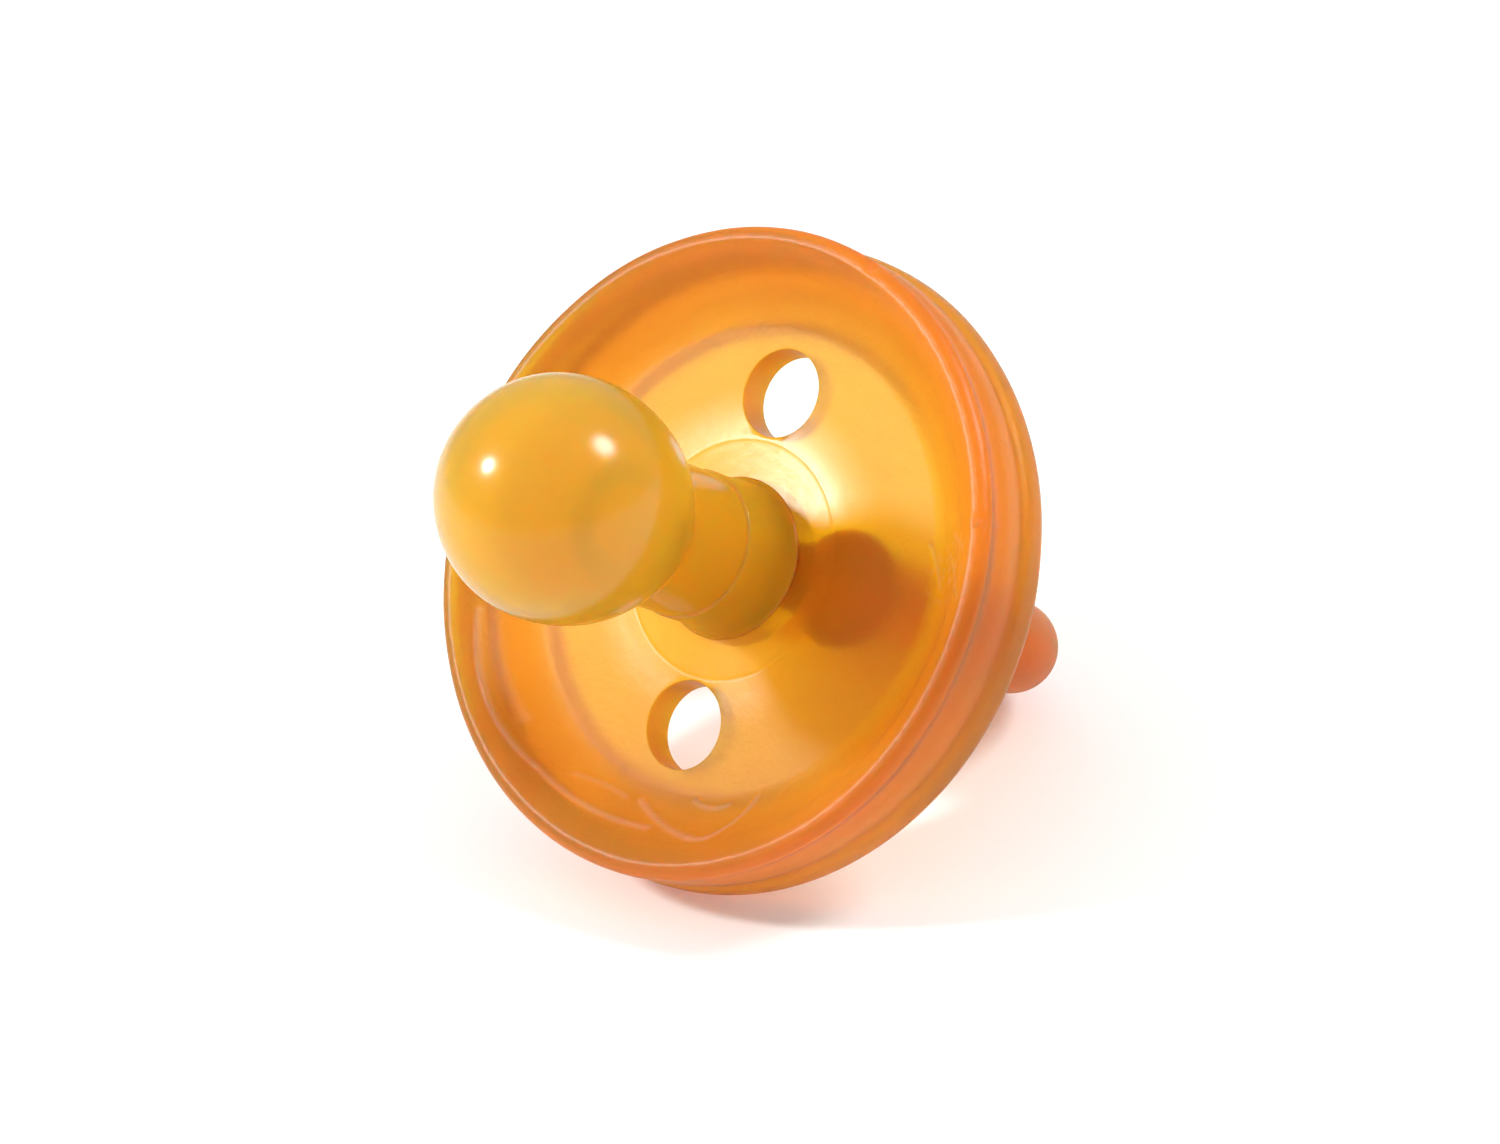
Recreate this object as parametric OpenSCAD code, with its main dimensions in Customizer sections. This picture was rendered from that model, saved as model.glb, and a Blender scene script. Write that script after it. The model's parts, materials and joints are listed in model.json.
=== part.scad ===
// Soft rubber pacifier: cherry-shaped teat, round dished shield, loop handle.
// The object is drawn with the teat's axis along +z and is then leaned back
// until the shield's rear rim and the far end of the loop touch the floor.

/* [Shield] */
// Outer diameter of the shield
shield_d = 45; // [42:0.5:52]
// Thickness of the shield around the teat
disc_t = 2.5; // [2:0.1:3.5]
// Radius where the thin middle of the shield meets its thick rim
disc_r = 16.1; // [15.5:0.1:17]
// Height of the front lip above the thin middle
lip_h = 3.9; // [2.5:0.1:5]
// Depth of the rear rim behind the thin middle
rear_h = 1.5; // [0.8:0.1:2.5]

/* [Vent holes] */
// Diameter of each vent hole
vent_d = 6.1; // [5:0.1:6.4]
// Distance of each vent hole from the teat's axis
vent_offset = 11.7; // [11.7:0.1:12]

/* [Teat] */
// Diameter of the bulb
bulb_d = 16.1; // [14:0.1:17]
// Distance from the shield's front face to the widest part of the bulb
bulb_z = 19.2; // [16:0.1:21]
// Length of the bulb's long rear half
bulb_rear = 9.6; // [8.6:0.2:10.6]
// Diameter of the neck
neck_d = 10; // [8.6:0.1:10.4]
// Radius of the fillet where the neck meets the shield
neck_fillet = 3.2; // [2:0.1:3.4]
// Thickness of the bulb's wall
bulb_wall = 1.4; // [1:0.1:2]
// Diameter of the air channel in the neck
channel_d = 5.8; // [4.6:0.2:6.2]
// Diameter of the teat's base flange
flange_d = 17; // [16.8:0.1:17.1]

/* [Loop handle] */
// Diameter of the loop's round cord
cord_d = 6.5; // [5.5:0.1:6.8]
// Radius of the loop's round end, to the middle of the cord
loop_r = 12.05; // [11.5:0.05:13]
// Distance of each foot from the teat's axis
foot_x = 8.55; // [8.4:0.05:8.8]
// Outward lean of each leg
leg_flare = 20; // [16:1:24]
// Depth behind the shield of the line that the loop folds about
fold_z = 4.2; // [4:0.1:5]

/* [Hidden] */
$fn = 96;
shield_r = shield_d / 2;
disc_front = 2.3;
disc_back = disc_front - disc_t;
split_z = disc_front - 0.8;
lip_round = 0.9;
lip_top = disc_front + lip_h;
lip_r = shield_r - 0.15;
wall_r = shield_r - 0.35;
seam_r = shield_r - 0.5;
rear_round = 1.4;
rear_z = disc_back - rear_h;
rear_step = 0.8;
vent_r = vent_d / 2;
bulb_r = bulb_d / 2;
bulb_mid = disc_front + bulb_z;
neck_r = neck_d / 2;
channel_r = channel_d / 2;
flange_r = flange_d / 2;
flange_z = disc_front - 1.9;
plug_head_r = 4.5;
plug_len = 5;
cord_r = cord_d / 2;
leg_r = cord_r - 0.05;
leg_lap = 0.3;
foot_flare = 0.9;
cup_gap = 0.25;
cup_rim = 2.7;
hinge_z = disc_back - fold_z;
hinge_x = foot_x + fold_z * tan(leg_flare);

// The leg's middle line is tangent to the loop's round end.
loop_z = hinge_z - (loop_r - hinge_x * cos(leg_flare)) / sin(leg_flare);
leg_end = (hinge_z - loop_z) * cos(leg_flare) - hinge_x * sin(leg_flare);
loop_depth = loop_r - loop_z;

// Lean at which the rear rim and the end of the loop share one floor.
rim_round_r = shield_r - rear_round;
rim_round_z = rear_z + rear_round;
reach = loop_depth + rim_round_z;
lean = acos((cord_r - rear_round) / norm([rim_round_r, reach])) - atan2(reach, rim_round_r);
floor_drop = loop_depth * sin(lean) + cord_r;
middle_y = (bulb_mid * cos(lean) + bulb_r - loop_depth * cos(lean) - cord_r) / 2;

amber = [0.93, 0.62, 0.20];
honey = [0.91, 0.66, 0.24];
orange = [0.88, 0.50, 0.14];
rust = [0.80, 0.42, 0.16];

// Stands the upright object on its rear rim and the end of its loop.
module stand() {
    translate([0, middle_y, floor_drop])
        rotate([90 - lean, 0, 0])
            children();
}

// Points on a circular arc.
function arc(centre, r, from, to, steps = 12) =
    [for (i = [0 : steps]) let (a = from + (to - from) * i / steps)
        centre + r * [cos(a), sin(a)]];

// Rear half of the bulb running softly into a neck of radius neck.
function soft_r(r, neck) = pow(pow(r, 12) + pow(neck, 12), 1 / 12);
function bulb_outline(r, front, rear, neck, steps = 20) = concat(
    [for (i = [0 : steps]) let (a = 180 - 90 * i / steps)
        [soft_r(r * sin(a), neck), bulb_mid + rear * cos(a)]],
    [for (i = [1 : steps]) let (a = 90 - 90 * i / steps)
        [r * sin(a), bulb_mid + front * cos(a)]]);
function reversed(list) = [for (i = [len(list) - 1 : -1 : 0]) list[i]];

// Hollow bulb, neck and base flange, open at the back of the neck.
module teat() {
    fillet_mid = [neck_r + neck_fillet, disc_front + neck_fillet];
    outer = bulb_outline(bulb_r, bulb_r, bulb_rear, neck_r);
    inner = bulb_outline(bulb_r - bulb_wall, bulb_r - bulb_wall, bulb_rear - bulb_wall, channel_r);
    color(honey) stand() rotate_extrude()
        polygon(concat(
            [[channel_r, flange_z], [flange_r, flange_z], [flange_r, disc_front]],
            arc(fillet_mid, neck_fillet, 270, 180),
            outer,
            reversed(inner)));
}

// Plug that closes the air channel, flush with the shield's back.
module teat_plug() {
    color(amber) stand() {
        translate([0, 0, disc_back])
            cylinder(r = plug_head_r, h = flange_z - disc_back);
        translate([0, 0, disc_back])
            cylinder(r = channel_r, h = plug_len + flange_z - disc_back);
    }
}

// Two holes through the thin part of the shield, one above the other.
module vent_holes() {
    for (side = [-1, 1])
        translate([0, side * vent_offset, rear_z])
            cylinder(r = vent_r, h = lip_top - rear_z);
}

// Front half of the shield: thin middle, rising rim and rounded lip.
module front_shield() {
    lip_mid = [lip_r - lip_round, lip_top - lip_round];
    slope_top = lip_mid + lip_round * [cos(135), sin(135)];
    slope = [for (i = [0 : 10]) let (t = 1 - i / 10)
        [disc_r + (slope_top[0] - disc_r) * t, disc_front + (slope_top[1] - disc_front) * pow(t, 1.5)]];
    color(amber) stand() difference() {
        rotate_extrude()
            polygon(concat(
                [[flange_r, split_z], [seam_r, split_z], [wall_r, split_z + 0.3],
                 [wall_r, lip_mid[1] - 0.4]],
                arc(lip_mid, lip_round, 0, 135),
                slope,
                [[flange_r, disc_front]]));
        vent_holes();
    }
}

// Rear half of the shield, with the seat for the teat's flange.
module back_plate() {
    rim_mid = [rim_round_r, rim_round_z];
    color(orange) stand() difference() {
        rotate_extrude()
            polygon(concat(
                [[plug_head_r, disc_back], [disc_r, disc_back], [disc_r + rear_step, rear_z]],
                arc(rim_mid, rear_round, 270, 360),
                [[shield_r, split_z - 0.6], [seam_r, split_z], [flange_r, split_z],
                 [flange_r, flange_z], [plug_head_r, flange_z]]));
        vent_holes();
    }
}

// Root of one leg, bonded to the shield, with a shallow cup for the leg's round end.
module handle_foot(side) {
    height = fold_z - cup_rim;
    color(rust) stand() difference() {
        intersection() {
            translate([side * hinge_x, 0, hinge_z])
                rotate([0, -side * leg_flare, 0])
                    cylinder(r1 = cord_r, r2 = cord_r + foot_flare, h = 2 * fold_z);
            translate([side * foot_x - cord_d, -cord_d, disc_back - height])
                cube([2 * cord_d, 2 * cord_d, height]);
        }
        translate([side * hinge_x, 0, hinge_z])
            sphere(r = cord_r + cup_gap);
    }
}

module left_handle_foot() {
    handle_foot(-1);
}

module right_handle_foot() {
    handle_foot(1);
}

// One round-ended straight leg, lapped a little way into the loop's round end.
module leg(side) {
    leg_top = leg_end + leg_lap;
    translate([side * hinge_x, 0, hinge_z])
        rotate([0, 180 - side * leg_flare, 0])
            rotate_extrude()
                polygon(concat([[0, leg_top]], arc([0, 0], leg_r, -90, 0, 9), [[leg_r, leg_top]]));
}

// Loop of round cord: two flared legs and a round end.
module handle_loop() {
    color(rust) stand() {
        leg(-1);
        leg(1);
        translate([0, 0, loop_z])
            rotate([-90, 0, 0])
                rotate([0, 0, -leg_flare])
                    rotate_extrude(angle = 180 + 2 * leg_flare)
                        translate([loop_r, 0])
                            circle(r = cord_r);
    }
}

teat();
teat_plug();
front_shield();
back_plate();
left_handle_foot();
right_handle_foot();
handle_loop();
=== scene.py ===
import json
import math

import bmesh
import bpy
from mathutils import Matrix, Vector, noise
from mathutils.geometry import delaunay_2d_cdt


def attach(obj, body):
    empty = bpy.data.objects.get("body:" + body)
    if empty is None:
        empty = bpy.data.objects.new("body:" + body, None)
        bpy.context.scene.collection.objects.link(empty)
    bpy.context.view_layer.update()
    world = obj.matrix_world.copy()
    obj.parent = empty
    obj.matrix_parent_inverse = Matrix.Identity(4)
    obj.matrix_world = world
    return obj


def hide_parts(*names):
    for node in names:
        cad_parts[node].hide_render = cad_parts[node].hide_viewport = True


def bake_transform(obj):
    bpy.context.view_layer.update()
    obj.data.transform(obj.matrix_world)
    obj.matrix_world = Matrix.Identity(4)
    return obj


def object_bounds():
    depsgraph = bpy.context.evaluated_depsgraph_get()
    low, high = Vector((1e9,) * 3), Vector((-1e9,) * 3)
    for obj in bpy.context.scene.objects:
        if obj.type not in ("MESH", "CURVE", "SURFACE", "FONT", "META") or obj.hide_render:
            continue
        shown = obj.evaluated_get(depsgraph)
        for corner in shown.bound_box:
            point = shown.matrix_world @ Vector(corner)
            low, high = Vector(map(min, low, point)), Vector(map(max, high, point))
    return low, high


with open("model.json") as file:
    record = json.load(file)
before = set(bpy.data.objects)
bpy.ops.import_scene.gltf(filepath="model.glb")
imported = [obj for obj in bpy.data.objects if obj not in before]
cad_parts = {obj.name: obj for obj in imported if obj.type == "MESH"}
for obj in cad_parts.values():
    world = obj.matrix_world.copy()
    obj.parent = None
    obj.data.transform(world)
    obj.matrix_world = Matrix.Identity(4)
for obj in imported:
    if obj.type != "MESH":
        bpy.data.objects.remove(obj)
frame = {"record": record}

cad_low, cad_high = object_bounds()

# ---------------------------------------------------------------- sizes
# Millimetres, in the pacifier's own frame: z along the teat, x through the
# loop's feet, y through the vent holes. Most are the CAD model's own. The
# softer steps of the shield, the flange's edge, the mound round the neck's
# root, the collar and the foot's swell are only here.
MM = 0.001
DISC_FRONT = 2.3
DISC_BACK = -0.2
FLAT_R = 15.6
SLOPE_R = 16.3
THICK_R = 17.9
SHIELD_R = 22.5
REAR_Z = -1.7
REAR_ROUND = 1.4
LIP_R = 22.35
LIP_ROUND = 0.9
LIP_TOP = 6.2
FLANGE_EDGE = 8.35
FLANGE_CUT = 0.018
FLANGE_CUT_WIDTH = 0.1
FLANGE_Z = 0.4
MOUND_R = 9.2
MOUND_H = 0.3
SEAM_R = 5.6
ROOT_R = 5.55
COLLAR_R = 5.12
COLLAR_Z = 7.6
NECK_R = 5.0
CHANNEL_R = 2.9
BULB_R = 8.05
BULB_REAR = 9.6
BULB_MID = 21.5
BULB_WALL = 1.4
PLUG_R = 4.5
PLUG_TOP = 5.4
PLUG_ROUND = 0.5
CORD_R = 3.25
LOOP_R = 12.05
FOOT_X = 8.55
FOOT_SWELL = 0.3
FOOT_FILLET = 0.55
FOOT_FILLET_DEPTH = 0.9
LEG_FLARE = math.radians(20)
FOLD_DEPTH = 4.2
FIT_GAP = 0.02

# How many points each piece has round its axis, each hole round its own, and
# the loop round its cord.
SHIELD_AROUND = 480
TEAT_AROUND = 192
PLUG_AROUND = 96
HOLE_AROUND = 96
CORD_AROUND = 72

# Small unevenness of moulded rubber: height and length of its waves. Vector
# noise differs from run to run unless it has a seed.
WOBBLE = 0.035
WOBBLE_LENGTH = 5.5
WOBBLE_SEED = 7
noise.seed_set(WOBBLE_SEED)


def own_frame(upper, lower, forward):
    """Matrix from the pacifier's own frame, in millimetres, to the row frame, from its two vents."""
    up = (upper - lower).normalized()
    side = up.cross(forward)
    origin = (upper + lower) / 2 - forward * MM * (DISC_FRONT + DISC_BACK) / 2
    turn = Matrix((side, up, forward)).transposed().to_4x4()
    return Matrix.Translation(origin) @ turn @ Matrix.Scale(MM, 4)


mounts = {m["name"]: m for m in frame["record"]["mounts"]}
upper_vent = Vector(mounts["upper_vent"]["pos_m"])
lower_vent = Vector(mounts["lower_vent"]["pos_m"])
VENT_R = mounts["upper_vent"]["dims"]["r_mm"]
VENT_Y = (upper_vent - lower_vent).length / MM / 2
OWN = own_frame(upper_vent, lower_vent, -Vector(mounts["upper_vent"]["axis"]).normalized())


# ---------------------------------------------------------------- camera
def outward(azimuth, elevation):
    """Direction away from the pacifier at a compass angle, with 0 in front of it, and a height angle."""
    a, e = math.radians(azimuth), math.radians(elevation)
    return Vector((math.sin(a) * math.cos(e), -math.cos(a) * math.cos(e), math.sin(e)))


def camera(aim, azimuth, elevation, roll, distance, lens):
    """Camera at a compass angle and height round aim; a positive roll leans its top to the right."""
    a, r = math.radians(azimuth), math.radians(roll)
    back = outward(azimuth, elevation)
    level = Vector((math.cos(a), math.sin(a), 0))
    upright = back.cross(level)
    up = upright * math.cos(r) + level * math.sin(r)
    right = level * math.cos(r) - upright * math.sin(r)
    data = bpy.data.cameras.new("photo_camera")
    data.lens = lens
    data.sensor_width = 36
    data.sensor_fit = "HORIZONTAL"
    data.clip_start = 0.01
    data.clip_end = 20
    made = bpy.data.objects.new("photo_camera", data)
    bpy.context.scene.collection.objects.link(made)
    turn = Matrix((right, up, back)).transposed().to_4x4()
    made.matrix_world = Matrix.Translation(Vector(aim) + back * distance) @ turn
    bpy.context.scene.camera = made


camera(aim=(0.00002, 0.00118, 0.01776), azimuth=42.745, elevation=27.833, roll=8.593,
       distance=0.26507, lens=93.43)


# ---------------------------------------------------------------- moulding marks
MARK_WIDTH = 0.15
MARK_STEPS = 24
MARK_REACH = 14
SCUFF_MID = Vector((18.6, 2.6))
SCUFF_SIZE = 1.9
SCUFF_HEIGHT = 0.25
SCUFF_GRAIN = 0.45
# Lift of a mark at which the highlight painted along it is full.
STREAK_HEIGHT = 0.15


class Mark:
    """One thin raised (or, with a negative height, cut) line on the shield's front.

    It runs from one (radius, degrees) to another and bows outward by some
    millimetres half way.
    """

    def __init__(self, start, end, bow, height, width=MARK_WIDTH):
        self.height = height
        self.width = width
        self.path = []
        for i in range(MARK_STEPS + 1):
            t = i / MARK_STEPS
            r = start[0] + (end[0] - start[0]) * t + bow * 4 * t * (1 - t)
            a = math.radians(start[1] + (end[1] - start[1]) * t)
            self.path.append(Vector((r * math.cos(a), r * math.sin(a))))

    def lift(self, place):
        """Height of the mark at a place, from its distance to the line."""
        samples = (self.path[0], self.path[MARK_STEPS // 2], self.path[-1])
        if min((place - p).length for p in samples) > MARK_REACH:
            return 0.0
        gap = min(distance_to(place, a, b) for a, b in zip(self.path, self.path[1:]))
        return self.height * math.exp(-(gap / self.width) ** 2) if gap < 3 * self.width else 0.0


def distance_to(place, a, b):
    """Distance from a place to the line between two points."""
    along = b - a
    t = min(1.0, max(0.0, (place - a).dot(along) / along.length_squared))
    return (place - a - along * t).length


# Eight flow lines, three scratches on the right and two nicks near the lip.
MARKS = [
    Mark((19.7, -156), (19.5, -118), bow=0.5, height=0.18),
    Mark((19.5, -118), (18.95, -87), bow=0.05, height=0.15),
    Mark((18.9, -157), (18.85, -130), bow=0.18, height=-0.1, width=0.3),
    Mark((17.4, -94), (19.3, -76), bow=0.1, height=0.16),
    Mark((19.3, -76), (19.4, -71), bow=0.1, height=0.16),
    Mark((19.4, -71), (16.7, -62), bow=0.3, height=0.16),
    Mark((16.5, -80), (16.9, -70), bow=0.35, height=0.12),
    Mark((18.3, -112), (17.6, -98), bow=-0.3, height=0.07),
    Mark((15.9, 15), (17.45, 5), bow=0.0, height=0.12, width=0.12),
    Mark((18.15, 12), (20.9, 3), bow=0.0, height=0.08, width=0.12),
    Mark((18.6, 16), (20.6, 12), bow=0.0, height=0.07, width=0.12),
    Mark((22.0, 71.0), (22.4, 71.6), bow=0.0, height=-0.3, width=0.35),
    Mark((21.7, 16.3), (21.9, 16.5), bow=0.0, height=-0.22, width=0.25)]


def marked(p):
    """Shift of a point on the front of the shield's rim by its flow lines, scratches, scuffs and nicks."""
    place = p.xy
    if place.length < FLAT_R - 0.8 or p.z < DISC_FRONT - 0.1:
        return Vector()
    lift = sum(mark.lift(place) for mark in MARKS)
    scuffed = math.exp(-((place - SCUFF_MID) / SCUFF_SIZE).length_squared)
    if scuffed > 0.02:
        lift += SCUFF_HEIGHT * scuffed * max(0.0, noise.noise(p / SCUFF_GRAIN) - 0.1)
    return Vector((0, 0, lift))


# ---------------------------------------------------------------- mesh help
WELD = 0.0005
SHARP = math.radians(50)


class Skin:
    """Points and faces of one piece, in its own frame in millimetres."""

    def __init__(self):
        self.points = []
        self.faces = []

    def loop(self, points):
        """Adds points and returns their numbers."""
        first = len(self.points)
        self.points.extend(points)
        return list(range(first, len(self.points)))

    def ring(self, r, z, count):
        """Even points round the axis."""
        return self.loop([Vector((r * math.cos(t), r * math.sin(t), z)) for t in turns(count)])

    def bridge(self, a, b):
        """A band of quads between two loops."""
        for i in range(len(a)):
            j = (i + 1) % len(a)
            self.faces.append((a[i], a[j], b[j], b[i]))

    def close(self, a, tip):
        """A fan of triangles from a loop to one point."""
        for i in range(len(a)):
            self.faces.append((a[i], a[(i + 1) % len(a)], tip))

    def lathe(self, outline, count):
        """Rings along an outline of (radius, z); an outline end on the axis is closed with one point."""
        rings = []
        for r, z in outline:
            rings.append(self.ring(r, z, count) if r > 1e-6 else self.loop([Vector((0, 0, z))]))
        for a, b in zip(rings, rings[1:]):
            if len(a) == 1:
                self.close(b, a[0])
            elif len(b) == 1:
                self.close(a, b[0])
            else:
                self.bridge(a, b)
        return rings

    def piece(self, name, move=None, streaks=False):
        """The finished Blender object, in the row frame, with move's shift added to each point.

        The points' own places stay with it as 'own'. With streaks, how far
        move lifts or cuts them stays as a point attribute, from 0 to 1, that
        paints a highlight along the marks.
        """
        mesh = bpy.data.meshes.new(name)
        mesh.from_pydata([tuple(p) for p in self.points], [], self.faces)
        work = bmesh.new()
        work.from_mesh(mesh)
        bmesh.ops.remove_doubles(work, verts=work.verts, dist=WELD)
        bmesh.ops.recalc_face_normals(work, faces=work.faces)
        work.to_mesh(mesh)
        work.free()
        places = [v.co.copy() for v in mesh.vertices]
        shifts = [move(p) if move else Vector() for p in places]
        own = mesh.attributes.new("own", "FLOAT_VECTOR", "POINT")
        own.data.foreach_set("vector", [c for p in places for c in p])
        if streaks:
            streak_highlight = mesh.attributes.new("streak_highlight", "FLOAT", "POINT")
            streak_highlight.data.foreach_set("value", [min(1.0, abs(s.z) / STREAK_HEIGHT) for s in shifts])
        for v, p, shift in zip(mesh.vertices, places, shifts):
            v.co = OWN @ (p + uneven(p) + shift)
        mesh.shade_smooth()
        mesh.set_sharp_from_angle(angle=SHARP)
        made = bpy.data.objects.new(name, mesh)
        bpy.context.scene.collection.objects.link(made)
        return made


def uneven(p):
    """The shift that moulded rubber's unevenness gives a point; near points move alike on every piece."""
    return WOBBLE * noise.noise_vector(p / WOBBLE_LENGTH)


def turns(count, shift=0):
    """Even angles round a circle; shift is a share of the step between two."""
    return [2 * math.pi * (i + shift) / count for i in range(count)]


def circle(r, count, shift=0):
    """Even points round a flat circle."""
    return [Vector((r * math.cos(t), r * math.sin(t))) for t in turns(count, shift)]


def arc(mid, r, start, end, steps):
    """Points on an arc from start to end, in degrees."""
    angles = [math.radians(start + (end - start) * i / steps) for i in range(steps + 1)]
    return [(mid[0] + r * math.cos(t), mid[1] + r * math.sin(t)) for t in angles]


def line(a, b, steps):
    """Points from a to b, both ends included."""
    return [(a[0] + (b[0] - a[0]) * i / steps, a[1] + (b[1] - a[1]) * i / steps)
            for i in range(steps + 1)]


def smooth(t):
    """0 to 1 as t goes from 0 to 1, level at both ends."""
    t = min(1.0, max(0.0, t))
    return t * t * (3 - 2 * t)


def through(knots, steps):
    """A smooth curve through the knots, with steps points between two knots."""
    ends = [knots[0]] + list(knots) + [knots[-1]]
    made = []
    for a, b, c, d in zip(ends, ends[1:], ends[2:], ends[3:]):
        for i in range(steps):
            t = i / steps
            made.append(tuple(
                0.5 * (2 * q + (r - p) * t + (2 * p - 5 * q + 4 * r - s) * t * t
                       + (3 * q - p - 3 * r + s) * t ** 3)
                for p, q, r, s in zip(a, b, c, d)))
    return made + [knots[-1]]


# ---------------------------------------------------------------- shield
HOLE_EDGE = 0.1
HOLE_CLEAR = 0.32
GRID = 0.6
FLANGE_AROUND = 260
FLANGE_BAND = (-0.2, -0.1, 0, 0.1, 0.2)
FLANGE_CLEAR = 0.35
STEP_STEPS = 14


def flat_zone(skin, inner, outer, holes, z):
    """Even triangles between two rings, round the holes, and finer along the flange's edge in front."""
    known = list(inner) + list(outer) + [i for hole in holes for i in hole]
    flat = [Vector((skin.points[i].x, skin.points[i].y)) for i in known]
    group = [0] * len(inner) + [-1] * len(outer)
    for k, hole in enumerate(holes):
        group += [k + 1] * len(hole)
    low = skin.points[inner[0]].xy.length
    high = skin.points[outer[0]].xy.length
    centres = [Vector((0, VENT_Y)), Vector((0, -VENT_Y))]
    edge = VENT_R + HOLE_EDGE

    def clear_of_holes(p, gap):
        return all((p - c).length > edge + gap for c in centres)

    for centre in centres:
        for k in (1, 2):
            for p in circle(1, HOLE_AROUND // 2, k / 2):
                p = centre + (edge + HOLE_CLEAR * k) * p
                if low + 0.12 < p.length < high - 0.2:
                    flat.append(p)
    if z == DISC_FRONT:
        for band in FLANGE_BAND:
            flat += [p for p in circle(FLANGE_EDGE + band, FLANGE_AROUND) if clear_of_holes(p, 0.1)]
    rows = round((high - low) / GRID)
    for k in range(1, rows):
        r = low + (high - low) * k / rows
        if z == DISC_FRONT and abs(r - FLANGE_EDGE) < FLANGE_CLEAR:
            continue
        grid_row = circle(r, round(2 * math.pi * r / GRID), (k % 2) / 2)
        flat += [p for p in grid_row if clear_of_holes(p, HOLE_CLEAR * 2 + 0.3)]
    made, _, faces, origin, _, _ = delaunay_2d_cdt(flat, [], [], 0, 1e-5, True)
    index = []
    for p, came in zip(made, origin):
        if came and came[0] < len(known):
            index.append((known[came[0]], group[came[0]]))
        else:
            index.append((skin.loop([Vector((p.x, p.y, z))])[0], -1))
    # A triangle with all its points on one hole or on the inner ring lies in empty space.
    for face in faces:
        groups = {index[i][1] for i in face}
        if len(groups) > 1 or groups == {-1}:
            skin.faces.append(tuple(index[i][0] for i in face))


def vent(skin, y):
    """The wall of one vent hole with softened edges; returns its front and back loops."""
    front = (VENT_R + HOLE_EDGE, DISC_FRONT - HOLE_EDGE)
    back = (VENT_R + HOLE_EDGE, DISC_BACK + HOLE_EDGE)
    wall = line((VENT_R, front[1]), (VENT_R, back[1]), 6)
    outline = arc(front, HOLE_EDGE, 90, 180, 5) + wall[1:-1] + arc(back, HOLE_EDGE, 180, 270, 5)
    first = len(skin.points)
    rings = skin.lathe(outline, HOLE_AROUND)
    for p in skin.points[first:]:
        p.y += y
    return rings[0], rings[-1]


def mound_z(r):
    """Height of the shield's front, which rises towards the neck and shows the edge of the teat's flange."""
    near = min(1.0, max(0.0, (MOUND_R - r) / (MOUND_R - ROOT_R)))
    cut = FLANGE_CUT * math.exp(-((r - FLANGE_EDGE) / FLANGE_CUT_WIDTH) ** 2)
    return DISC_FRONT + MOUND_H * near ** 1.3 - cut


def shield():
    """The whole shield: thin middle with two vents, thick rising rim, rounded lip and rear rim."""
    lip = (LIP_R - LIP_ROUND, LIP_TOP - LIP_ROUND)
    rear = (SHIELD_R - REAR_ROUND, REAR_Z + REAR_ROUND)
    step = [(FLAT_R + (THICK_R - FLAT_R) * i / STEP_STEPS,
             DISC_BACK + (REAR_Z - DISC_BACK) * smooth(i / STEP_STEPS))
            for i in range(STEP_STEPS + 1)]
    groove = [(SHIELD_R, 0.2), (SHIELD_R - 0.08, 0.75), (SHIELD_R - 0.28, 1.2),
              (SHIELD_R - 0.36, 1.5), (SHIELD_R - 0.32, 1.8), (SHIELD_R - 0.26, 2.4)]
    waist = [(SHIELD_R - 0.28, 3.2), (SHIELD_R - 0.45, 4.2), (LIP_R - 0.15, 4.9), (LIP_R, lip[1])]
    wall = through(groove + waist, 5)
    bead = arc(lip, LIP_ROUND, 0, 70, 10)
    slope = through([bead[-1], (21.3, 6.17), (20.75, 5.86), (20.0, 5.2), (19.2, 4.36), (18.2, 3.42),
                     (17.2, 2.72), (SLOPE_R, 2.35), (FLAT_R, DISC_FRONT)], 6)
    outline = (step + line(step[-1], (rear[0], REAR_Z), 6)[1:-1]
               + arc(rear, REAR_ROUND, -90, 0, 14) + wall + bead[1:] + slope[1:])
    skin = Skin()
    side = skin.lathe(outline, SHIELD_AROUND)
    seat_r = SEAM_R + FIT_GAP
    seat = skin.lathe(line((seat_r, DISC_FRONT), (seat_r, DISC_BACK), 8), SHIELD_AROUND)
    upper, lower = vent(skin, VENT_Y), vent(skin, -VENT_Y)
    flat_zone(skin, seat[0], side[-1], [upper[0], lower[0]], DISC_FRONT)
    flat_zone(skin, seat[-1], side[0], [upper[1], lower[1]], DISC_BACK)
    for p in skin.points:
        if abs(p.z - DISC_FRONT) < 1e-6:
            p.z = mound_z(p.xy.length)
    return skin.piece("dished_shield", move=marked, streaks=True)


# ---------------------------------------------------------------- teat
# The higher, the more suddenly the bulb runs into the neck.
NECK_BLEND = 12


def bulb_outline(r, front, rear, neck, steps):
    """Rear half of the bulb running softly into its neck, then the front half, from the neck to the tip."""
    back = []
    for i in range(steps + 1):
        a = math.radians(180 - 90 * i / steps)
        ball = max(0, r * math.sin(a))
        soft = (ball ** NECK_BLEND + neck ** NECK_BLEND) ** (1 / NECK_BLEND)
        back.append((soft, BULB_MID + rear * math.cos(a)))
    round_end = arc((0, BULB_MID), 1, 0, 90, steps)
    return back + [(r * x if i < steps else 0, BULB_MID + front * (z - BULB_MID))
                   for i, (x, z) in enumerate(round_end)][1:]


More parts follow.
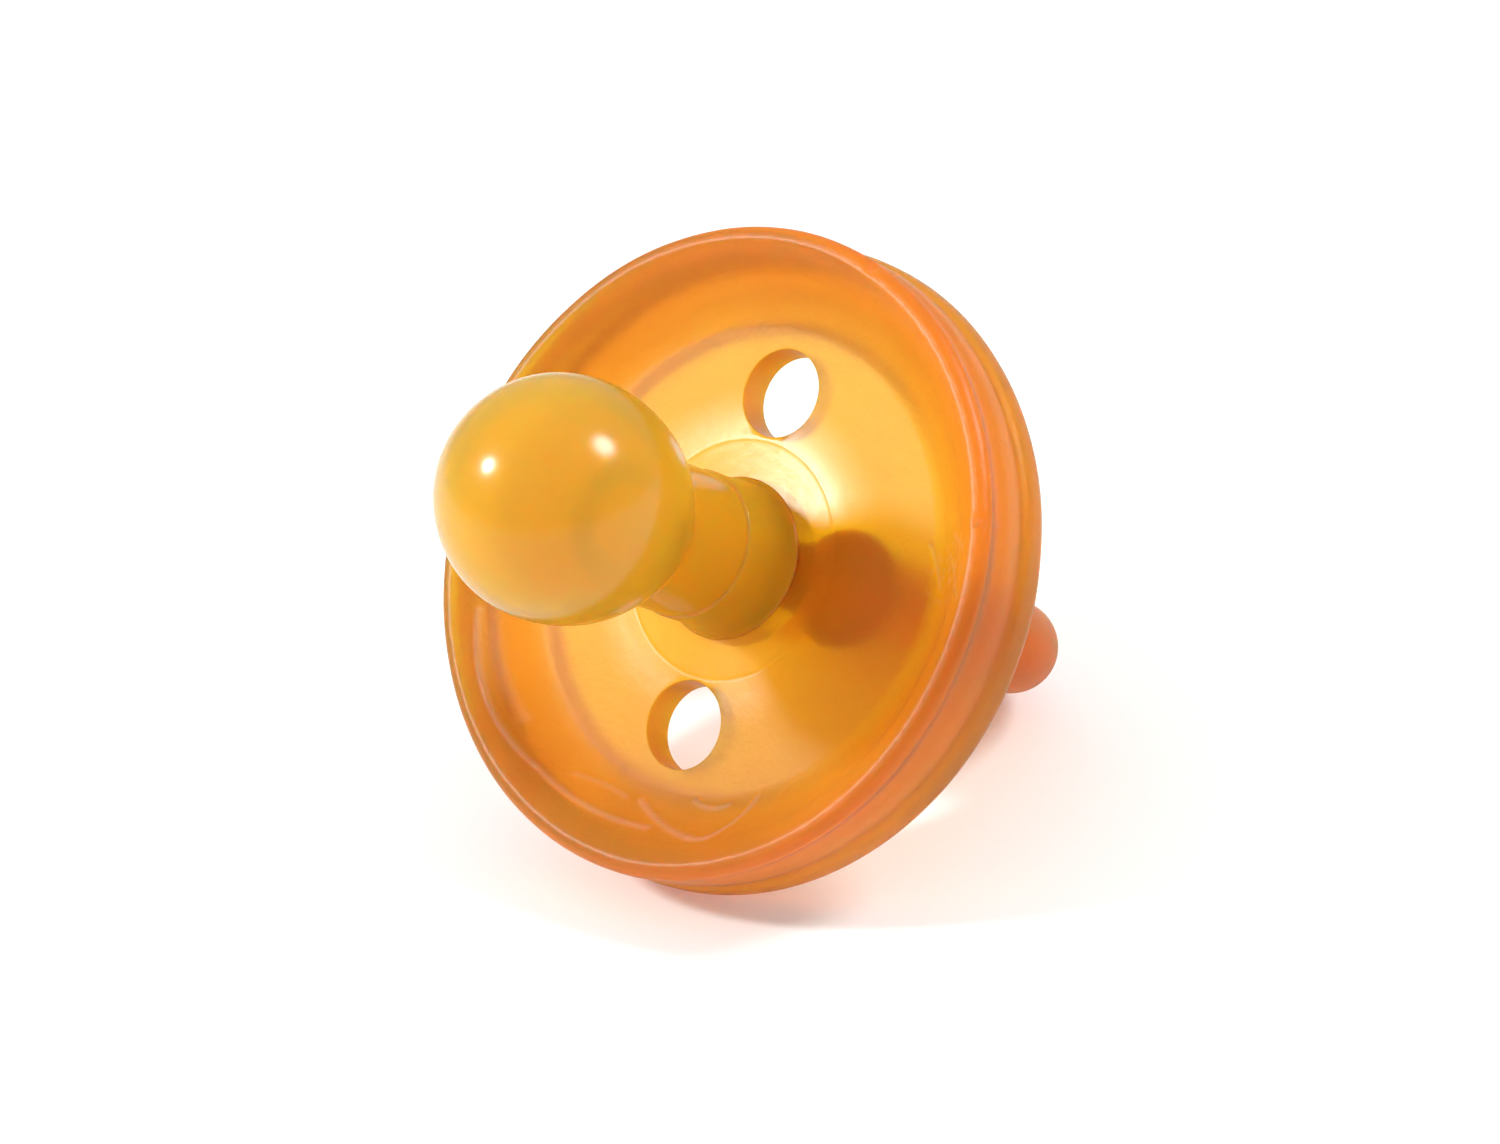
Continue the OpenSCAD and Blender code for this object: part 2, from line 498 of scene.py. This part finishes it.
def teat():
    """Hollow bulb and neck, down to the back of the shield; its flange is one skin with the shield."""
    outer = bulb_outline(BULB_R, BULB_R, BULB_REAR, NECK_R, 40)
    inner_r = BULB_R - BULB_WALL
    inner = bulb_outline(inner_r, inner_r, BULB_REAR - BULB_WALL, CHANNEL_R, 32)
    hole_r = PLUG_R + FIT_GAP
    seam = (SEAM_R, mound_z(SEAM_R))
    base = (line((CHANNEL_R, FLANGE_Z), (hole_r, FLANGE_Z), 3)
            + line((hole_r, FLANGE_Z), (hole_r, DISC_BACK), 3)[1:]
            + line((hole_r, DISC_BACK), (SEAM_R, DISC_BACK), 4)[1:]
            + line((SEAM_R, DISC_BACK), seam, 8)[1:-1])
    fillet = through([seam, (ROOT_R - 0.1, 2.85), (COLLAR_R + 0.18, 3.4), (COLLAR_R + 0.1, 4.2),
                      (COLLAR_R + 0.04, 4.9), (COLLAR_R, 5.6)], 5)
    collar = (COLLAR_R, COLLAR_Z - 0.25)
    groove = through([collar, (COLLAR_R - 0.03, COLLAR_Z - 0.1), (NECK_R - 0.1, COLLAR_Z),
                      (NECK_R - 0.03, COLLAR_Z + 0.14), (NECK_R, COLLAR_Z + 0.4)], 4)
    neck = line(fillet[-1], collar, 4)[1:-1] + groove + line(groove[-1], outer[0], 5)[1:-1]
    skin = Skin()
    skin.lathe(base + fillet + neck + outer, TEAT_AROUND)
    skin.lathe(line((CHANNEL_R, FLANGE_Z), inner[0], 16)[:-1] + inner, TEAT_AROUND)
    return skin.piece("hollow_teat")


def teat_plug():
    """Plug that closes the air channel from behind."""
    head = line((0, DISC_BACK), (PLUG_R, DISC_BACK), 6)
    stem_r = CHANNEL_R - FIT_GAP
    shoulder = FLANGE_Z - FIT_GAP * 2
    round_z = PLUG_TOP - PLUG_ROUND
    stem = line((stem_r, shoulder), (stem_r, round_z), 4)[1:]
    tip = arc((stem_r - PLUG_ROUND, round_z), PLUG_ROUND, 0, 90, 5)[1:] + [(0, PLUG_TOP)]
    skin = Skin()
    skin.lathe(head + [(PLUG_R, shoulder), (stem_r, shoulder)] + stem + tip, PLUG_AROUND)
    return skin.piece("air_plug")


# ---------------------------------------------------------------- handle
LEG_STEPS = 44
BEND_STEPS = 120


def loop_path():
    """Middle line of the loop's cord from one foot round to the other, as (x, z, dx, dz)."""
    hinge_x = FOOT_X + FOLD_DEPTH * math.tan(LEG_FLARE)
    hinge_z = DISC_BACK - FOLD_DEPTH
    loop_z = hinge_z - (LOOP_R - hinge_x * math.cos(LEG_FLARE)) / math.sin(LEG_FLARE)
    flare = Vector((math.sin(LEG_FLARE), -math.cos(LEG_FLARE)))
    foot = Vector((FOOT_X, DISC_BACK))
    meet = Vector((LOOP_R * math.cos(LEG_FLARE), loop_z + LOOP_R * math.sin(LEG_FLARE)))
    leg = (meet - foot).length
    made = []
    # The leg's points crowd towards its foot, where the cord swells.
    for i in range(LEG_STEPS):
        at = foot + flare * leg * (i / LEG_STEPS) ** 1.4
        made.append((at.x, at.y, flare.x, flare.y))
    bend = math.pi + 2 * LEG_FLARE
    for i in range(BEND_STEPS + 1):
        a = LEG_FLARE - bend * i / BEND_STEPS
        made.append((LOOP_R * math.cos(a), loop_z + LOOP_R * math.sin(a), math.sin(a), -math.cos(a)))
    back = [(-x, z, dx, -dz) for x, z, dx, dz in made[:LEG_STEPS]]
    return made + back[::-1]


def cord_ring(x, z, dx, dz):
    """Points round the cord at one place of its path, wider and turned flat to the shield at a foot."""
    depth = DISC_BACK - z
    near = 1 - smooth(depth / FOLD_DEPTH)
    fillet = max(0.0, 1 - depth / FOOT_FILLET_DEPTH)
    r = CORD_R + FOOT_SWELL * near + FOOT_FILLET * (1 - math.sqrt(max(0.0, 1 - fillet * fillet)))
    across = Vector((-dz, 0, dx))
    if depth < FOLD_DEPTH:
        flat = Vector((math.copysign(1, -dz), 0, 0)) / math.cos(LEG_FLARE)
        across = across.lerp(flat, near)
    return [Vector((x, 0, z)) + r * (math.cos(t) * across + math.sin(t) * Vector((0, 1, 0)))
            for t in turns(CORD_AROUND)]


def off_the_back(p):
    """Shift that keeps the flat ends of the feet just clear of the shield's back."""
    return Vector((0, 0, -FIT_GAP)) if p.z > DISC_BACK - 0.5 else Vector()


def handle():
    """One loop of round cord, its feet spread a little where they join the shield."""
    skin = Skin()
    rings = [skin.loop(cord_ring(*place)) for place in loop_path()]
    for a, b in zip(rings, rings[1:]):
        skin.bridge(a, b)
    for end in (rings[0], rings[-1]):
        centre = sum((skin.points[i] for i in end), Vector()) / len(end)
        previous = end
        for share in (0.75, 0.45):
            inner = skin.loop([centre.lerp(skin.points[i], share) for i in end])
            skin.bridge(previous, inner)
            previous = inner
        skin.close(previous, skin.loop([centre])[0])
    return skin.piece("loop_handle", move=off_the_back)


# ---------------------------------------------------------------- materials
# The colour that the rubber takes with depth, and how strongly for each metre.
TINT = (0.998, 0.868, 0.02)
DENSITY = 1180
SPREAD_BY_COLOUR = (1.0, 0.5, 0.15)
SHIELD_PALE = (0.87, 0.68, 0.037)
SHIELD_DEEP = (0.855, 0.62, 0.03)
# Darker colour painted on the shield's outer wall and lip as their shade.
SHIELD_RIM_SHADE = (0.72, 0.45, 0.008)
HANDLE_PALE = (0.82, 0.36, 0.003)
HANDLE_DEEP = (0.80, 0.32, 0.003)
BULB_PALE = (0.98, 0.72, 0.055)
BULB_DEEP = (0.975, 0.69, 0.045)
TEAT_ROOT = (0.995, 0.70, 0.04)
# Pale colour painted along the moulding marks as a highlight on their ridges.
STREAK_HIGHLIGHT_COLOUR = (0.99, 0.93, 0.6)

# Millimetres from the teat's axis over which the finish changes: from glossy
# by the teat to satin, from satin to the lip's finish, from the body's colour
# to the darker colour painted on the rim as shade, and from faint to full
# mottling.
SATIN_ZONE = (8.4, 12)
LIP_ZONE = (19.8, 21.4)
RIM_SHADE_ZONE = (20.6, 22.2)
MOTTLED_ZONE = (9, 16)
# Heights over which the teat's root colour and root gloss fade out.
ROOT_COLOUR_ZONE = (7, 20)
ROOT_GLOSS_ZONE = (3, 6)


def node(tree, kind, **values):
    """A new node with its sockets or settings given by name."""
    made = tree.nodes.new(kind)
    for key, value in values.items():
        if key in made.inputs:
            made.inputs[key].default_value = value
        else:
            setattr(made, key, value)
    return made


def noise_of(tree, place, size, detail):
    """Noise with features about size millimetres across."""
    made = node(tree, "ShaderNodeTexNoise", Scale=1 / size, Detail=detail, Roughness=0.55)
    tree.links.new(place, made.inputs["Vector"])
    return made.outputs["Fac"]


def ramp(tree, fac, low, high, start, end):
    """Fac mapped from low..high to start..end, and held beyond both."""
    made = node(tree, "ShaderNodeMapRange", clamp=True)
    made.inputs["From Min"].default_value = low
    made.inputs["From Max"].default_value = high
    made.inputs["To Min"].default_value = start
    made.inputs["To Max"].default_value = end
    tree.links.new(fac, made.inputs["Value"])
    return made.outputs["Result"]


def far_from_axis(tree, place):
    """Distance of a place from the teat's axis, in millimetres."""
    flat = node(tree, "ShaderNodeVectorMath", operation="MULTIPLY")
    flat.inputs[1].default_value = (1, 1, 0)
    tree.links.new(place, flat.inputs[0])
    length = node(tree, "ShaderNodeVectorMath", operation="LENGTH")
    tree.links.new(flat.outputs["Vector"], length.inputs[0])
    return length.outputs["Value"]


def height_of(tree, place):
    """Height of a place along the teat's axis, in millimetres."""
    parts = node(tree, "ShaderNodeSeparateXYZ")
    tree.links.new(place, parts.inputs[0])
    return parts.outputs["Z"]


def sum_of(tree, a, b):
    """The sum of two sockets."""
    made = node(tree, "ShaderNodeMath", operation="ADD")
    tree.links.new(a, made.inputs[0])
    tree.links.new(b, made.inputs[1])
    return made.outputs["Value"]


def mixed(tree, fac, low, high):
    """Colour from low to high; each is a colour or a socket."""
    made = node(tree, "ShaderNodeMix", data_type="RGBA")
    tree.links.new(fac, made.inputs["Factor"])
    for key, colour in (("A", low), ("B", high)):
        if isinstance(colour, tuple):
            made.inputs[key].default_value = (*colour, 1)
        else:
            tree.links.new(colour, made.inputs[key])
    return made.outputs["Result"]


def rubber(name, pale, deep, gloss, transmission, spread, shine, mottling, rim=None, root=None):
    """Translucent natural rubber, a cloudy body that darkens with depth.

    With rim, a darker colour painted on the outermost rubber as its shade,
    gloss is the roughness of the disc near the teat, of its outer part and of
    the lip. With root, the colour that the teat takes towards its root, gloss
    is the roughness of the root and of the bulb.
    """
    material = bpy.data.materials.new(name)
    material.use_nodes = True
    tree = material.node_tree
    tree.nodes.clear()
    out = node(tree, "ShaderNodeOutputMaterial")
    body = node(tree, "ShaderNodeBsdfPrincipled", IOR=1.4)
    tree.links.new(body.outputs[0], out.inputs["Surface"])
    inside = node(tree, "ShaderNodeVolumeAbsorption", Color=(*TINT, 1), Density=DENSITY)
    tree.links.new(inside.outputs[0], out.inputs["Volume"])
    body.inputs["Transmission Weight"].default_value = transmission
    body.inputs["Subsurface Weight"].default_value = 1.0
    body.inputs["Subsurface Radius"].default_value = SPREAD_BY_COLOUR
    body.inputs["Subsurface Scale"].default_value = spread * MM
    body.inputs["Specular IOR Level"].default_value = shine
    place = node(tree, "ShaderNodeAttribute", attribute_name="own").outputs["Vector"]
    far = far_from_axis(tree, place)
    cloud = noise_of(tree, place, 6.0, detail=4.0)
    colour = mixed(tree, ramp(tree, cloud, 0.3, 0.7, 0, 1), deep, pale)
    if root:
        height = height_of(tree, place)
        colour = mixed(tree, ramp(tree, height, *ROOT_COLOUR_ZONE, 0, 1), root, colour)
        broad = ramp(tree, height, *ROOT_GLOSS_ZONE, *gloss)
    else:
        near_gloss, outer_gloss, lip_gloss = gloss
        # The moulding marks are real ridges and cuts; the pale colour along them is a painted highlight.
        streak_highlight = node(tree, "ShaderNodeAttribute", attribute_name="streak_highlight").outputs["Fac"]
        colour = mixed(tree, ramp(tree, streak_highlight, 0, 1, 0, 0.7), colour, STREAK_HIGHLIGHT_COLOUR)
        # The outermost rubber takes a darker colour, painted on as shade.
        colour = mixed(tree, ramp(tree, far, *RIM_SHADE_ZONE, 0, 1), colour, rim)
        broad = sum_of(tree, ramp(tree, far, *SATIN_ZONE, near_gloss, outer_gloss),
                       ramp(tree, far, *LIP_ZONE, 0, lip_gloss - outer_gloss))
    tree.links.new(colour, body.inputs["Base Color"])
    patch = ramp(tree, noise_of(tree, place, 2.2, detail=5.0), 0.3, 0.75, -0.01, 0.008)
    tree.links.new(sum_of(tree, broad, patch), body.inputs["Roughness"])
    bump = node(tree, "ShaderNodeBump", Distance=0.0004)
    tree.links.new(noise_of(tree, place, 0.9, detail=5.0), bump.inputs["Height"])
    strength = ramp(tree, far, *MOTTLED_ZONE, mottling / 5, mottling)
    tree.links.new(strength, bump.inputs["Strength"])
    tree.links.new(bump.outputs["Normal"], body.inputs["Normal"])
    return material


shield_rubber = rubber("shield_rubber", SHIELD_PALE, SHIELD_DEEP, gloss=(0.285, 0.53, 0.4),
                       transmission=0.83, spread=4, shine=0.42, mottling=0.2, rim=SHIELD_RIM_SHADE)
teat_rubber = rubber("teat_rubber", BULB_PALE, BULB_DEEP, gloss=(0.23, 0.2),
                     transmission=0.68, spread=2.5, shine=0.45, mottling=0.0, root=TEAT_ROOT)
plug_rubber = rubber("plug_rubber", SHIELD_PALE, SHIELD_DEEP, gloss=(0.4, 0.4, 0.4),
                     transmission=0.35, spread=4, shine=0.42, mottling=0.1, rim=SHIELD_RIM_SHADE)
handle_rubber = rubber("handle_rubber", HANDLE_PALE, HANDLE_DEEP, gloss=(0.5, 0.5, 0.5),
                       transmission=0.75, spread=4, shine=0.1, mottling=0.1, rim=HANDLE_DEEP)

made_shield = shield()
made_shield.data.materials.append(shield_rubber)
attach(made_shield, "pacifier")
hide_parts("front_shield", "back_plate")

made_teat = teat()
made_teat.data.materials.append(teat_rubber)
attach(made_teat, "pacifier")
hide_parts("teat")

made_plug = teat_plug()
made_plug.data.materials.append(plug_rubber)
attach(made_plug, "pacifier")
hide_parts("teat_plug")

made_handle = handle()
made_handle.data.materials.append(handle_rubber)
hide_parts("left_handle_foot", "right_handle_foot", "handle_loop")
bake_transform(made_handle)

# ---------------------------------------------------------------- stage
# Metres from here on.
FLOOR_HALF = 3.0
FLOOR_CLEAR = 0.0001
FLOOR_GREY = 0.86
FLOOR_GLOW = 0.13


def floor():
    """White paper just under the pacifier, with a faint glow of its own."""
    mesh = bpy.data.meshes.new("floor")
    h = FLOOR_HALF
    mesh.from_pydata([(-h, -h, 0), (h, -h, 0), (h, h, 0), (-h, h, 0)], [], [(0, 1, 2, 3)])
    made = bpy.data.objects.new("floor", mesh)
    bpy.context.scene.collection.objects.link(made)
    made.location.z = cad_low.z - FLOOR_CLEAR
    paint = bpy.data.materials.new("floor_paper")
    paint.use_nodes = True
    shader = paint.node_tree.nodes["Principled BSDF"]
    shader.inputs["Base Color"].default_value = (FLOOR_GREY, FLOOR_GREY, FLOOR_GREY, 1)
    shader.inputs["Roughness"].default_value = 0.9
    shader.inputs["Emission Color"].default_value = (1, 1, 1, 1)
    shader.inputs["Emission Strength"].default_value = FLOOR_GLOW
    mesh.materials.append(paint)


def lamp(name, azimuth, elevation, distance, size, power):
    """A round soft light at a compass angle and height, aimed at the pacifier's middle."""
    away = outward(azimuth, elevation)
    data = bpy.data.lights.new(name, "AREA")
    data.shape = "DISK"
    data.size = size
    data.energy = power
    made = bpy.data.objects.new(name, data)
    bpy.context.scene.collection.objects.link(made)
    middle = (cad_low + cad_high) / 2
    turn = away.to_track_quat("Z", "Y").to_matrix().to_4x4()
    made.matrix_world = Matrix.Translation(middle + away * distance) @ turn


def studio(horizon, zenith, right):
    """A white studio: its strength at the horizon and overhead, and what is added to it on the right."""
    world = bpy.data.worlds.new("studio")
    bpy.context.scene.world = world
    world.use_nodes = True
    tree = world.node_tree
    parts = node(tree, "ShaderNodeSeparateXYZ")
    tree.links.new(node(tree, "ShaderNodeTexCoord").outputs["Generated"], parts.inputs[0])
    shine = sum_of(tree, ramp(tree, parts.outputs["Z"], 0, 1, horizon, zenith),
                   ramp(tree, parts.outputs["X"], 0, 1, 0, right))
    tree.nodes["Background"].inputs["Color"].default_value = (1, 1, 1, 1)
    tree.links.new(shine, tree.nodes["Background"].inputs["Strength"])


floor()
lamp("key_light", azimuth=-43, elevation=37.5, distance=0.6, size=0.075, power=2.5)
lamp("back_right_light", azimuth=124, elevation=46, distance=0.6, size=0.18, power=2.1)
studio(horizon=0.53, zenith=0.79, right=-0.1)
bpy.context.scene.view_settings.view_transform = "Standard"
